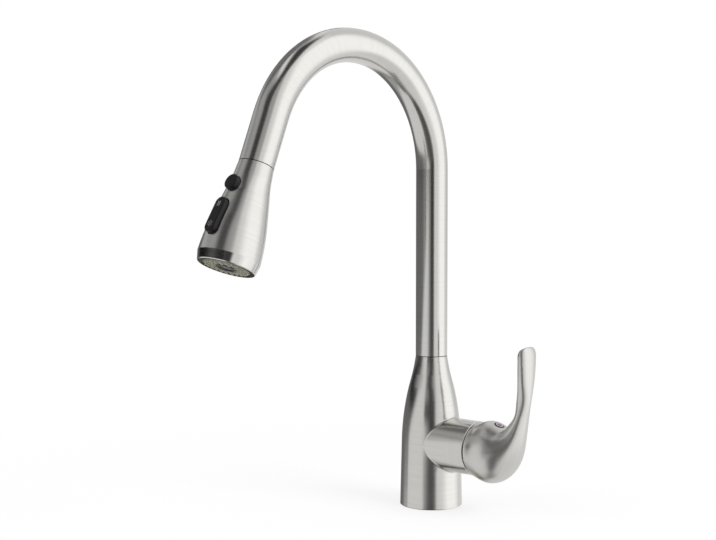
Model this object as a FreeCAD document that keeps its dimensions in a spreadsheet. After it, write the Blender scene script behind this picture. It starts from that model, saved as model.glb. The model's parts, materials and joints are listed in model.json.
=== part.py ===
"""Pull-down kitchen faucet: gooseneck spout, docked spray head and side lever.

Frame: millimetres, +Z up, origin on the deck at the body's axis. The spout points along -Y and the side
boss with its lever along +X. The rest pose is docked, closed and mixed half way.
"""
import FreeCAD
import Part
import Sketcher
import math
import os

SIZES = {
    # gooseneck
    "tube_radius": 14.0,
    "tube_wall": 1.4,
    "riser_top": 297.5,
    "bend_radius": 100.0,
    "bend_angle": 158.3,
    "mouth_run": 41.1,
    "seam": 0.6,
    # clearances
    "running_gap": 0.05,
    "sliding_gap": 0.1,
    "free_gap": 0.3,
    # bottle-shaped body
    "base_radius": 27.6,
    "base_bevel": 0.6,
    "waist_radius": 26.3,
    "waist_height": 58.0,
    "shoulder_radius": 19.9,
    "shoulder_height": 106.0,
    "shoulder_curve": 221.0,
    "throat_radius": 17.0,
    "throat_height": 117.0,
    "neck_height": 132.8,
    "neck_curve": 141.0,
    "body_wall": 3.0,
    "base_floor": 8.0,
    "boss_height": 56.2,
    "boss_radius": 23.5,
    "boss_wall": 3.3,
    "boss_reach": 53.5,
    "boss_fillet": 1.6,
    "boss_edge": 0.4,
    # swivel in the neck
    "neck_bore_depth": 30.0,
    "journal_radius": 10.4,
    "bush_wall": 1.1,
    "bush_length": 11.0,
    "bush_flange": 0.45,
    "adapter_grip": 20.0,
    "ring_thick": 1.2,
    "ring_grip": 0.9,
    "ring_reach": 1.9,
    # deck mount
    "shank_radius": 16.0,
    "shank_plain": 34.0,
    "thread_radius": 14.8,
    "thread_length": 38.0,
    "shank_bore": 12.6,
    "gasket_inner": 20.0,
    "gasket_width": 4.0,
    "gasket_depth": 2.0,
    "washer_radius": 24.0,
    "rubber_thick": 3.0,
    "steel_thick": 1.6,
    "nut_flats": 42.0,
    "nut_height": 10.0,
    "nut_screw_radius": 2.0,
    "nut_screw_length": 9.0,
    # valve in the side boss, whose block ends short of the boss's mouth
    "block_start": 7.0,
    "block_end": 11.7,
    "sleeve_radius": 9.0,
    "sleeve_wall": 2.8,
    "sleeve_start": 12.5,
    "sleeve_flange": 2.5,
    "sleeve_lip": 3.0,
    "inlet_radius": 4.5,
    "inlet_depth": 6.0,
    "inlet_reach": 14.0,
    "inlet_apart": 10.0,
    "outlet_radius": 4.0,
    "outlet_reach": 11.7,
    "port_flat": 15.5,
    "drill_radius": 2.2,
    "retainer_thick": 4.0,
    "nose_radius": 11.0,
    "nose_length": 2.4,
    "stem_radius": 4.4,
    "spool_start": 15.0,
    "seal_pitch": 8.0,
    "seal_first": 20.0,
    "seal_wire": 0.5,
    "cap_thick": 3.0,
    "cap_dome": 1.6,
    # rocking pivot of the lever and its link to the spool, with reaches from the pivot cap's face
    "pivot_drop": 16.2,
    "pivot_reach": 3.6,
    "stem_reach": 11.6,
    "pin_radius": 1.45,
    "lug_radius": 2.4,
    "lug_near": 3.8,
    "lug_thick": 2.8,
    "stem_end": 3.5,
    "fork_room": 2.0,
    "link_ear": 3.0,
    "link_half_height": 6.2,
    "slot_rise": 2.5,
    "link_grip": 8.5,
    # lever handle
    "handle_gap": 1.2,
    "hub_wall": 3.2,
    "hub_depth": 17.2,
    "rim_relief": 12.0,
    "lever_height": 91.0,
    "lever_half_width": 10.6,
    "lever_waist": 6.7,
    "lever_thick": 10.0,
    "lever_line": 49.3,
    "lever_sweep": 2.8,
    "lever_slant": 3.0,
    # sections of the handle's hub: reach from the rim, rise and drop past the boss, swell at the sides
    "collar_reach": 7.2,
    "collar_rise": 1.1,
    "collar_drop": 2.5,
    "collar_swell": 1.5,
    "belly_reach": 13.2,
    "belly_rise": 2.0,
    "belly_drop": 3.9,
    "belly_swell": 2.2,
    "crown_reach": 19.2,
    "crown_rise": 0.4,
    "crown_drop": 3.3,
    "crown_swell": 1.7,
    "saddle_reach": 24.7,
    "saddle_rise": -2.0,
    "saddle_low_reach": 27.4,
    "saddle_drop": -0.7,
    "saddle_swell": -0.5,
    "valley_reach": 29.8,
    "valley_rise": -2.8,
    "valley_low_reach": 36.6,
    "valley_drop": -12.4,
    "valley_swell": -5.7,
    # sections where the hub turns up into the lever, over the boss's top
    "root_reach": 34.2,
    "root_rise": 2.2,
    "root_low_reach": 45.2,
    "root_low_rise": -11.6,
    "root_half": 11.2,
    "turn_reach": 40.0,
    "turn_rise": 10.8,
    "turn_low_reach": 49.2,
    "turn_low_rise": 7.0,
    "turn_half": 7.8,
    "plug_radius": 4.2,
    "plug_depth": 5.0,
    "plug_reach": 20.8,
    "plug_rise": -1.2,
    "plug_lean": 24.0,
    "plug_room": 0.4,
    "plug_proud": 1.0,
    "plug_round": 0.7,
    "grub_radius": 2.5,
    "grub_length": 9.0,
    "key_depth": 2.5,
    # hose and dock
    "hose_radius": 6.2,
    "hose_bore": 4.0,
    "hose_drop": 78.0,
    "ferrule_length": 18.0,
    "ferrule_wall": 1.6,
    "plug_nose": 5.6,
    "dock_length": 26.0,
    "dock_bore": 9.3,
    "dock_mouth": 11.0,
    "fitting_sleeve": 20.0,
    "fitting_wall": 1.9,
    "fitting_cone": 9.0,
    "fitting_neck": 7.4,
    "fitting_flange": 9.6,
    "flange_thick": 3.4,
    "socket_top": 2.5,
    "socket_depth": 11.0,
    "swivel_washer_thick": 1.2,
    # spray head, measured down its own axis from the spout's mouth
    "head_taper_end": 12.5,
    "head_taper_radius": 15.1,
    "flare_start": 25.0,
    "flare_start_radius": 17.4,
    "flare_end": 43.8,
    "flare_end_radius": 21.0,
    "crease": 76.0,
    "crease_radius": 24.5,
    "lip_end": 83.6,
    "lip_radius": 22.9,
    "lip_bevel": 0.6,
    "head_hollow_curve": 123.0,
    "head_belly_curve": 198.0,
    "head_wall": 1.8,
    "core_end": 72.0,
    "core_gap": 0.35,
    "waterway_radius": 4.5,
    "chamber_depth": 4.5,
    "chamber_radius": 17.0,
    # round pause button
    "pause_place": 21.4,
    "pause_radius": 6.3,
    "pause_proud": 3.3,
    "pause_round": 0.9,
    "pause_dome": 0.25,
    "pause_lean": 9.0,
    "pause_travel": 1.8,
    "pause_skirt": 5.2,
    "pause_flange": 0.8,
    "pause_rod": 1.5,
    "pause_spring_room": 3.4,
    "spring_radius": 2.9,
    "spring_wire": 0.4,
    "spring_turns": 3.0,
    # long mode rocker and the diverter that it moves
    "rocker_place": 50.0,
    "rocker_length": 30.0,
    "rocker_width": 10.6,
    "rocker_proud": 3.6,
    "rocker_lean": 9.4,
    "rocker_pivot_depth": 6.2,
    "rocker_skirt": 4.0,
    "rocker_boss": 2.2,
    "rocker_round": 1.2,
    "rocker_pin": 1.0,
    "rocker_room": 0.65,
    "diverter_length": 11.0,
    "diverter_waist": 2.4,
    "finger_thick": 1.6,
    "finger_room": 0.6,
    "finger_width": 2.6,
    # spray face
    "plate_recess": 0.4,
    "plate_thick": 3.6,
    "face_radius": 18.4,
    "face_groove": 2.2,
    "pad_thick": 1.8,
    "nozzle_radius": 1.0,
    "nozzle_proud": 1.0,
    "nozzle_bore": 0.45,
    "inner_ring": 10.9,
    "ring_step": 2.8,
    "inner_count": 12,
    "count_step": 6,
    "aerator_radius": 8.2,
    "aerator_wall": 1.8,
    "aerator_depth": 7.4,
    "screen_thick": 0.8,
}
NOZZLE_RINGS = 3

doc = FreeCAD.newDocument("faucet")
sheet = doc.addObject("Spreadsheet::Sheet", "sizes")
for row, (name, value) in enumerate(SIZES.items(), start=1):
    sheet.set(f"A{row}", name)
    sheet.set(f"B{row}", str(value))
    sheet.setAlias(f"B{row}", name)
doc.recompute()


class Size:
    """A value together with the sheet expression that gives it."""

    def __init__(self, value, text):
        self.value = value
        self.text = text

    def joined(self, other, sign, result):
        return Size(result, f"({self.text} {sign} {size(other).text})")

    def __add__(self, other):
        return self.joined(other, "+", self.value + size(other).value)

    def __sub__(self, other):
        return self.joined(other, "-", self.value - size(other).value)

    def __mul__(self, other):
        return self.joined(other, "*", self.value * size(other).value)

    def __truediv__(self, other):
        return self.joined(other, "/", self.value / size(other).value)

    def __radd__(self, other):
        return size(other) + self

    def __rsub__(self, other):
        return size(other) - self

    def __rmul__(self, other):
        return size(other) * self

    def __neg__(self):
        return size(0) - self


def size(thing):
    """A Size from a sheet name, a bare number or a Size."""
    if isinstance(thing, Size):
        return thing
    if isinstance(thing, str):
        return Size(float(sheet.get(thing)), f"sizes.{thing}")
    return Size(float(thing), repr(thing))


def sin_of(angle):
    return Size(math.sin(math.radians(angle.value)), f"sin({angle.text} * 1 deg)")


def cos_of(angle):
    return Size(math.cos(math.radians(angle.value)), f"cos({angle.text} * 1 deg)")


def tan_of(angle):
    return Size(math.tan(math.radians(angle.value)), f"tan({angle.text} * 1 deg)")


X_AXIS = FreeCAD.Vector(1, 0, 0)
Y_AXIS = FreeCAD.Vector(0, 1, 0)
nodes = []


def bind(thing, prop, value):
    thing.setExpression(prop, size(value).text)


def place(thing, x=0, y=0, z=0, axis=None, angle=0):
    """Put an object at a bound point, turned by a bound angle about a world axis."""
    if axis is not None:
        turn = FreeCAD.Rotation(axis, size(angle).value)
        thing.Placement = FreeCAD.Placement(FreeCAD.Vector(), turn)
        thing.setExpression("Placement.Rotation.Angle", f"{size(angle).text} * 1 deg")
    bind(thing, "Placement.Base.x", x)
    bind(thing, "Placement.Base.y", y)
    bind(thing, "Placement.Base.z", z)


def on_boss(thing):
    """The boss frame: local Z out along the boss, local X down."""
    place(thing, z="boss_height", axis=Y_AXIS, angle=90)


bend = size("bend_angle")
mouth_y = -(size("bend_radius") * (1 - cos_of(bend)) + size("mouth_run") * sin_of(bend))
mouth_z = size("riser_top") + size("bend_radius") * sin_of(bend) + size("mouth_run") * cos_of(bend)


def on_head(thing, out=0, down=0, lean=0):
    """The head frame: local Z down the head, local Y outward, from a point out and down from the mouth."""
    out = size(out)
    down = size(down)
    y = mouth_y + out * cos_of(bend) - down * sin_of(bend)
    z = mouth_z + out * sin_of(bend) + down * cos_of(bend)
    place(thing, y=y, z=z, axis=X_AXIS, angle=bend + lean)


def new_body(label):
    body = doc.addObject("PartDesign::Body", label)
    body.Label = label
    nodes.append(body)
    return body


def new_sketch(body, name, role, offset=0):
    """A sketch on one of the body's origin planes, moved along the plane's normal."""
    sketch = body.newObject("Sketcher::SketchObject", name)
    plane = [item for item in body.Origin.OriginFeatures if item.Role == role][0]
    sketch.AttachmentSupport = [(plane, "")]
    sketch.MapMode = "FlatFace"
    sketch.setExpression("AttachmentOffset.Base.z", size(offset).text)
    return sketch


def pin_point(sketch, item, end, across, up):
    """Fix one point of a sketch by its two bound distances from the origin."""
    for kind, value, axis in (("DistanceX", size(across), -2), ("DistanceY", size(up), -1)):
        if value.text in ("0", "0.0"):
            sketch.addConstraint(Sketcher.Constraint("PointOnObject", item, end, axis))
            continue
        index = sketch.addConstraint(Sketcher.Constraint(kind, -1, 1, item, end, value.value))
        sketch.setExpression(f"Constraints[{index}]", value.text)


def flat(point):
    return FreeCAD.Vector(size(point[0]).value, size(point[1]).value, 0)


def arc_between(start, end, radius):
    """The short arc between two points; a positive radius bulges to the right of the way along."""
    chord = end - start
    half = chord.Length / 2
    right = FreeCAD.Vector(chord.y, -chord.x, 0).normalize()
    rise = abs(radius) - math.sqrt(radius * radius - half * half)
    middle = (start + end) * 0.5 + right * math.copysign(rise, radius)
    return Part.Arc(start, middle, end)


def outline(sketch, points):
    """A closed outline. A third entry on a point is the radius of the arc that leaves it."""
    count = len(points)
    ends = []
    for index, point in enumerate(points):
        start = flat(point)
        end = flat(points[(index + 1) % count])
        curved = len(point) == 3
        edge = arc_between(start, end, size(point[2]).value) if curved else Part.LineSegment(start, end)
        item = sketch.addGeometry(edge)
        forward = sketch.getPoint(item, 1).distanceToPoint(start) < 1e-6
        ends.append((1, 2) if forward else (2, 1))
    for index, point in enumerate(points):
        following = (index + 1) % count
        sketch.addConstraint(
            Sketcher.Constraint("Coincident", index, ends[index][1], following, ends[following][0])
        )
        pin_point(sketch, index, ends[index][0], point[0], point[1])
        if len(point) == 3:
            radius = size(point[2])
            positive = radius if radius.value > 0 else -radius
            number = sketch.addConstraint(Sketcher.Constraint("Radius", index, positive.value))
            sketch.setExpression(f"Constraints[{number}]", positive.text)


def circles(sketch, rounds):
    """Circles given as (across, up, radius)."""
    for across, up, radius in rounds:
        centre = flat((across, up))
        item = sketch.addGeometry(Part.Circle(centre, FreeCAD.Vector(0, 0, 1), size(radius).value))
        pin_point(sketch, item, 3, across, up)
        number = sketch.addConstraint(Sketcher.Constraint("Radius", item, size(radius).value))
        sketch.setExpression(f"Constraints[{number}]", size(radius).text)


def revolve(body, points, kind="PartDesign::Revolution"):
    """Turn an outline of (radius, height) points about the body's own Z axis."""
    sketch = new_sketch(body, f"{body.Label}_outline", "XZ_Plane")
    outline(sketch, points)
    cuts = kind == "PartDesign::Groove"
    before = body.Shape.Volume if cuts else 0
    feature = body.newObject(kind, f"{body.Label}_turned")
    feature.Profile = sketch
    feature.ReferenceAxis = (sketch, ["V_Axis"])
    feature.Angle = 360
    doc.recompute()
    if cuts and body.Shape.Volume >= before:
        raise RuntimeError(f"{body.Label}: the groove cut nothing")
    return feature


def pad(body, sketch, length):
    feature = body.newObject("PartDesign::Pad", f"{sketch.Name}_pad")
    feature.Profile = sketch
    bind(feature, "Length", length)
    doc.recompute()
    return feature


def pocket(body, sketch, length, towards_normal=False):
    before = body.Shape.Volume
    feature = body.newObject("PartDesign::Pocket", f"{sketch.Name}_pocket")
    feature.Profile = sketch
    feature.Reversed = towards_normal
    bind(feature, "Length", length)
    doc.recompute()
    if body.Shape.Volume >= before:
        raise RuntimeError(f"{sketch.Name}: the pocket cut nothing")
    return feature


def polar(body, feature, count):
    """Repeat a feature evenly about the body's Z axis."""
    pattern = body.newObject("PartDesign::PolarPattern", f"{feature.Name}_ring")
    pattern.Originals = [feature]
    axis = [item for item in body.Origin.OriginFeatures if item.Role == "Z_Axis"][0]
    pattern.Axis = (axis, [""])
    pattern.Angle = 360
    bind(pattern, "Occurrences", count)
    body.Tip = pattern
    doc.recompute()


def turned(label, points, where=None):
    body = new_body(label)
    revolve(body, points)
    if where is not None:
        where(body)
    return body


def box_outline(left, right, low, high):
    return [(left, low), (right, low), (right, high), (left, high)]


def ring(label, inner, outer, low, high, where=None):
    """A plain ring or washer."""
    return turned(label, box_outline(inner, outer, low, high), where)


def cross_pin(label, radius, half_length):
    """A pin along Y, centred on its placement."""
    pin = doc.addObject("Part::Cylinder", label)
    pin.Label = label
    bind(pin, "Radius", radius)
    bind(pin, "Height", 2 * size(half_length))
    nodes.append(pin)
    return pin


def stadium(sketch, half_width, half_length, centre_up=0):
    """A slot outline with round ends, long along the sketch's vertical."""
    straight = size(half_length) - half_width
    low = size(centre_up) - straight
    high = size(centre_up) + straight
    wide = size(half_width)
    nearly = wide * 1.0000001
    outline(sketch, [(wide, low), (wide, high, nearly), (-wide, high), (-wide, low, nearly)])


# Body: one bottle-shaped casting with the side boss, hollow, with a gasket groove under its base.
boss_bore = size("boss_radius") - "boss_wall"
bush_bore = size("journal_radius") + "running_gap"
bush_outer = bush_bore + "bush_wall"
neck_bore = bush_outer + "running_gap"
neck_ceiling = size("neck_height") - "neck_bore_depth"
base_hole = size("thread_radius") + "running_gap"
flange_outer = size("tube_radius") - "free_gap"

body_shell = new_body("body_shell")
revolve(
    body_shell,
    [
        (0, 0),
        (size("base_radius") - "base_bevel", 0),
        ("base_radius", "base_bevel"),
        ("waist_radius", "waist_height", "shoulder_curve"),
        ("shoulder_radius", "shoulder_height"),
        ("throat_radius", "throat_height", -size("neck_curve")),
        ("tube_radius", "neck_height"),
        (0, "neck_height"),
    ],
)
boss_sketch = new_sketch(body_shell, "boss_round", "YZ_Plane")
circles(boss_sketch, [(0, "boss_height", "boss_radius")])
boss_pad = pad(body_shell, boss_sketch, "boss_reach")


def joins_boss(edge):
    """True for the edges where the boss runs into the bottle."""
    for step in range(5):
        share = step / 4
        point = edge.valueAt(edge.FirstParameter + share * (edge.LastParameter - edge.FirstParameter))
        reach = math.hypot(point.y, point.z - size("boss_height").value)
        if abs(reach - size("boss_radius").value) > 0.01:
            return False
        if point.x > size("boss_reach").value - 1 or point.x < 1:
            return False
    return True


def end_of_boss(edge):
    centre = edge.CenterOfMass
    return abs(centre.x - size("boss_reach").value) < 0.01 and len(edge.Vertexes) == 1


def edge_names(shape, wanted):
    return [f"Edge{index}" for index, edge in enumerate(shape.Edges, start=1) if wanted(edge)]


boss_blend = body_shell.newObject("PartDesign::Fillet", "boss_blend")
boss_blend.Base = (boss_pad, edge_names(boss_pad.Shape, joins_boss))
bind(boss_blend, "Radius", "boss_fillet")
doc.recompute()
boss_rim = body_shell.newObject("PartDesign::Chamfer", "boss_rim")
boss_rim.Base = (boss_blend, edge_names(boss_blend.Shape, end_of_boss))
bind(boss_rim, "Size", "boss_edge")
doc.recompute()
revolve(
    body_shell,
    [
        (0, -1),
        (base_hole, -1),
        (base_hole, "base_floor"),
        (size("base_radius") - "body_wall", "base_floor"),
        (size("waist_radius") - "body_wall", "waist_height"),
        (bush_outer + "bush_wall" + 1.5, neck_ceiling),
        (neck_bore, neck_ceiling),
        (neck_bore, size("neck_height") + 1),
        (0, size("neck_height") + 1),
    ],
    "PartDesign::Groove",
)
gasket_outer = size("gasket_inner") + "gasket_width"
revolve(
    body_shell,
    box_outline("gasket_inner", gasket_outer, -1, "gasket_depth"),
    "PartDesign::Groove",
)
bore_sketch = new_sketch(body_shell, "boss_bore", "YZ_Plane", "boss_reach")
circles(bore_sketch, [(0, "boss_height", boss_bore)])
pocket(body_shell, bore_sketch, size("boss_reach") - "block_start")

ring("base_gasket", "gasket_inner", gasket_outer, 0, "gasket_depth")

# Deck mount: the shank screws into the base, and the nut pulls the washers up under the deck.
shank_low = -(size("shank_plain") + "thread_length")
turned(
    "mounting_shank",
    [
        ("shank_bore", shank_low),
        ("thread_radius", shank_low),
        ("thread_radius", -size("shank_plain")),
        ("shank_radius", -size("shank_plain")),
        ("shank_radius", 0),
        ("thread_radius", 0),
        ("thread_radius", "base_floor"),
        ("shank_bore", "base_floor"),
    ],
)
washer_bore = size("thread_radius") + "free_gap"
rubber_top = -(size("shank_plain") + "free_gap")
rubber_low = rubber_top - "rubber_thick"
steel_low = rubber_low - "steel_thick"
nut_low = steel_low - "nut_height"
ring("rubber_washer", washer_bore, "washer_radius", rubber_low, rubber_top)
ring("steel_washer", washer_bore, "washer_radius", steel_low, rubber_low)

nut_bore = size("thread_radius") + "running_gap"
nut_blank = doc.addObject("Part::Prism", "nut_blank")
nut_blank.Polygon = 6
nut_corner = size("nut_flats") / (2 * cos_of(size(30)))
bind(nut_blank, "Circumradius", nut_corner)
bind(nut_blank, "Height", "nut_height")
place(nut_blank, z=nut_low)
nut_thread = doc.addObject("Part::Cylinder", "nut_thread")
bind(nut_thread, "Radius", nut_bore)
bind(nut_thread, "Height", "nut_height")
place(nut_thread, z=nut_low)
screw_orbit = (nut_bore + size("nut_flats") / 2) / 2


def screw_cylinders(name, radius, length):
    """Two upright cylinders through the nut, one on each side of the shank."""
    pair = []
    for side in (-1, 1):
        one = doc.addObject("Part::Cylinder", f"{name}_{len(pair)}")
        bind(one, "Radius", radius)
        bind(one, "Height", length)
        place(one, y=side * screw_orbit, z=steel_low - length)
        pair.append(one)
    group = doc.addObject("Part::Compound", name)
    group.Links = pair
    return group


nut_holes = screw_cylinders("nut_holes", size("nut_screw_radius") + "running_gap", size("nut_height") + 1)
nut_ring = doc.addObject("Part::Cut", "nut_ring")
nut_ring.Base = nut_blank
nut_ring.Tool = nut_thread
mounting_nut = doc.addObject("Part::Cut", "mounting_nut")
mounting_nut.Base = nut_ring
mounting_nut.Tool = nut_holes
nodes.append(mounting_nut)
nut_screws = screw_cylinders("nut_screws", "nut_screw_radius", "nut_screw_length")
nodes.append(nut_screws)

# Swivel: the adapter is pressed in the tube and turns in two bushes, kept down by a snap ring.
tube_bore = size("tube_radius") - "tube_wall"
tube_low = size("neck_height") + "seam"
adapter_bore = size("hose_radius") + 2.2
lower_flange_low = neck_ceiling - "bush_wall"
snap_top = lower_flange_low - "sliding_gap"
snap_low = snap_top - "ring_thick"
groove_floor = size("journal_radius") - "ring_grip"
adapter_low = snap_low - "ring_thick"
turned(
    "spout_adapter",
    [
        (adapter_bore, adapter_low),
        ("journal_radius", adapter_low),
        ("journal_radius", snap_low),
        (groove_floor, snap_low),
        (groove_floor, snap_top),
        ("journal_radius", snap_top),
        ("journal_radius", tube_low),
        (tube_bore, tube_low),
        (tube_bore, tube_low + "adapter_grip"),
        (adapter_bore, tube_low + "adapter_grip"),
    ],
)
turned(
    "upper_bush",
    [
        (bush_bore, size("neck_height") - "bush_length"),
        (bush_outer, size("neck_height") - "bush_length"),
        (bush_outer, "neck_height"),
        (flange_outer, "neck_height"),
        (flange_outer, size("neck_height") + "bush_flange"),
        (bush_bore, size("neck_height") + "bush_flange"),
    ],
)
turned(
    "lower_bush",
    [
        (bush_bore, lower_flange_low),
        (bush_outer + "bush_wall", lower_flange_low),
        (bush_outer + "bush_wall", neck_ceiling),
        (bush_outer, neck_ceiling),
        (bush_outer, neck_ceiling + size("bush_length") - 2),
        (bush_bore, neck_ceiling + size("bush_length") - 2),
    ],
)
snap_ring = ring(
    "snap_ring", groove_floor, size("journal_radius") + "ring_reach", snap_low, snap_top
)
snap_gap = new_sketch(snap_ring, "snap_gap", "XY_Plane", snap_top)
outline(snap_gap, box_outline(-3, 3, size("journal_radius") * 0.5, size("journal_radius") * 1.5))
pocket(snap_ring, snap_gap, "ring_thick")


def swept_tube(label, outer, inner, low, with_run):
    """A tube up the riser and round the bend, and on along the mouth's straight run if asked."""
    body = new_body(label)
    path = new_sketch(body, f"{label}_path", "YZ_Plane")
    radius = size("bend_radius")
    top = size("riser_top")
    bend_end = (-(radius * (1 - cos_of(bend))), top + radius * sin_of(bend))
    centre = flat((-radius, top))
    circle = Part.Circle(centre, FreeCAD.Vector(0, 0, 1), radius.value)
    path.addGeometry(Part.LineSegment(flat((0, low)), flat((0, top))))
    path.addGeometry(Part.ArcOfCircle(circle, 0, math.radians(bend.value)))
    path.addConstraint(Sketcher.Constraint("Coincident", 0, 2, 1, 1))
    pin_point(path, 0, 1, 0, low)
    pin_point(path, 0, 2, 0, top)
    pin_point(path, 1, 2, *bend_end)
    number = path.addConstraint(Sketcher.Constraint("Radius", 1, radius.value))
    path.setExpression(f"Constraints[{number}]", radius.text)
    edges = ["Edge1", "Edge2"]
    length = size("riser_top") - low + radius * bend * (math.pi / 180)
    if with_run:
        path.addGeometry(Part.LineSegment(flat(bend_end), flat((mouth_y, mouth_z))))
        path.addConstraint(Sketcher.Constraint("Coincident", 1, 2, 2, 1))
        pin_point(path, 2, 2, mouth_y, mouth_z)
        edges.append("Edge3")
        length = length + "mouth_run"
    section = new_sketch(body, f"{label}_section", "XY_Plane", low)
    circles(section, [(0, 0, outer), (0, 0, inner)])
    pipe = body.newObject("PartDesign::AdditivePipe", f"{label}_pipe")
    pipe.Profile = section
    pipe.Spine = (path, edges)
    doc.recompute()
    expected = math.pi * (size(outer).value ** 2 - size(inner).value ** 2) * length.value
    if abs(body.Shape.Volume - expected) > 0.001 * expected:
        raise RuntimeError(f"{label}: the sweep has the wrong volume")
    return body


swept_tube("spout_tube", "tube_radius", tube_bore, tube_low, True)

# Hose: up through the shank, body and spout, ending in a push-in plug below the deck.
hose_low = -size("hose_drop")
swept_tube("spray_hose", "hose_radius", "hose_bore", hose_low, False)
ferrule_bore = size("hose_radius") + "running_gap"
ferrule_outer = ferrule_bore + "ferrule_wall"
plug_low = hose_low - size("ferrule_length") * 0.6
ferrule_top = hose_low + size("ferrule_length") * 0.4
turned(
    "hose_plug",
    [
        ("hose_bore", plug_low),
        ("plug_nose", plug_low),
        ("plug_nose", hose_low - 5),
        (size("plug_nose") - 0.8, hose_low - 5),
        (size("plug_nose") - 0.8, hose_low - 3),
        (ferrule_outer, hose_low - 3),
        (ferrule_outer, ferrule_top),
        (ferrule_bore, ferrule_top),
        (ferrule_bore, hose_low),
        ("hose_bore", hose_low),
    ],
)
sleeve_top = -size("fitting_sleeve")
tail_end = size(-4)
ring("hose_tail", "hose_bore", "hose_radius", -size("mouth_run"), tail_end, on_head)
turned(
    "dock_bush",
    [
        ("dock_bore", -size("dock_length")),
        (tube_bore, -size("dock_length")),
        (tube_bore, -size("free_gap")),
        ("dock_mouth", -size("free_gap")),
        ("dock_bore", -size("fitting_cone")),
    ],
    on_head,
)
sleeve_outer = ferrule_bore + "fitting_wall"
cone_outer = size("dock_mouth") - 0.6
socket_floor = size("socket_top") + "socket_depth"
flange_low = socket_floor - "swivel_washer_thick" - "sliding_gap"
flange_top = flange_low - "flange_thick"
turned(
    "hose_fitting",
    [
        ("hose_bore", tail_end),
        (ferrule_bore, tail_end),
        (ferrule_bore, sleeve_top),
        (sleeve_outer, sleeve_top),
        (sleeve_outer, -size("fitting_cone")),
        (cone_outer, -size("free_gap") - 0.4),
        (cone_outer, 0.2),
        ("fitting_neck", 0.2),
        ("fitting_neck", flange_top),
        ("fitting_flange", flange_top),
        ("fitting_flange", flange_low),
        ("hose_bore", flange_low),
    ],
    on_head,
)
socket_radius = size("fitting_flange") + size("free_gap")
ring(
    "swivel_retainer",
    size("fitting_neck") + "sliding_gap",
    socket_radius,
    "socket_top",
    flange_top - "sliding_gap",
    on_head,
)
ring("swivel_washer", size("hose_bore") + 0.5, "fitting_flange", flange_low + "sliding_gap", socket_floor, on_head)

# Spray head: a thin bell with two openings on its outward side, over a solid core with the waterway.
head_top = size("seam")
head_top_bore = socket_radius + 1.6
lip_wall = size("head_wall") * 0.6
plate_low = size("lip_end") - "plate_recess"
plate_top = plate_low - "plate_thick"
plate_radius = size("lip_radius") - lip_wall


def inner(radius):
    return size(radius) - "head_wall"


head_shell = turned(
    "head_shell",
    [
        (inner("tube_radius"), head_top),
        ("tube_radius", head_top),
        ("head_taper_radius", "head_taper_end", -size("head_hollow_curve")),
        ("flare_start_radius", "flare_start"),
        ("flare_end_radius", "flare_end", "head_belly_curve"),
        ("crease_radius", "crease"),
        ("lip_radius", size("lip_end") - "lip_bevel"),
        (size("lip_radius") - "lip_bevel", "lip_end"),
        (plate_radius, "lip_end"),
        (plate_radius, plate_top),
        (plate_radius, "crease"),
        (inner("crease_radius"), "core_end"),
        (inner("flare_end_radius"), "flare_end"),
        (inner("flare_start_radius"), "flare_start"),
        (inner("head_taper_radius"), "head_taper_end"),
    ],
    on_head,
)


def leaning_sketch(body, name, out, down, lean, depth):
    """A sketch facing outward on the head, its origin out and down from the mouth, sunk by a depth."""
    sketch = new_sketch(body, name, "XZ_Plane")
    lean = size(lean)
    inward = size(depth)
    turn = FreeCAD.Rotation(X_AXIS, -lean.value)
    sketch.AttachmentOffset = FreeCAD.Placement(FreeCAD.Vector(), turn)
    sketch.setExpression("AttachmentOffset.Rotation.Angle", f"{(-lean).text} * 1 deg")
    bind(sketch, "AttachmentOffset.Base.z", inward * cos_of(lean) - size(out))
    bind(sketch, "AttachmentOffset.Base.y", size(down) + inward * sin_of(lean))
    return sketch


def radius_on_head(down):
    """The bell's radius between the flare's two marks, and on above it along the taper."""
    if down.value > size("flare_start").value:
        low, high = "flare_start", "flare_end"
        low_radius, high_radius = "flare_start_radius", "flare_end_radius"
    else:
        low, high = "head_taper_end", "flare_start"
        low_radius, high_radius = "head_taper_radius", "flare_start_radius"
    slope = (size(high_radius) - low_radius) / (size(high) - low)
    return size(low_radius) + (down - low) * slope


pause_out = radius_on_head(size("pause_place"))
rocker_out = size("flare_end_radius") + 1.1
rocker_lean = size("rocker_lean")
rocker_axis_out = rocker_out - size("rocker_pivot_depth") * cos_of(rocker_lean)
rocker_axis_down = size("rocker_place") + size("rocker_pivot_depth") * sin_of(rocker_lean)
reach_out = size(12)
pause_hole = size("pause_radius") + "free_gap"
pause_seat = size("pause_skirt") + "pause_travel" + "pause_spring_room"

opening = leaning_sketch(head_shell, "pause_opening", pause_out, "pause_place", "pause_lean", "pause_skirt")
circles(opening, [(0, 0, pause_hole)])
pocket(head_shell, opening, reach_out + "pause_skirt")
opening = leaning_sketch(head_shell, "rocker_opening", rocker_out, "rocker_place", "rocker_lean", 8)
stadium(
    opening,
    size("rocker_width") / 2 + "rocker_room",
    size("rocker_length") / 2 + "rocker_room",
)
pocket(head_shell, opening, reach_out + 8)


def core_radius(radius):
    return inner(radius) - "core_gap"


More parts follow.
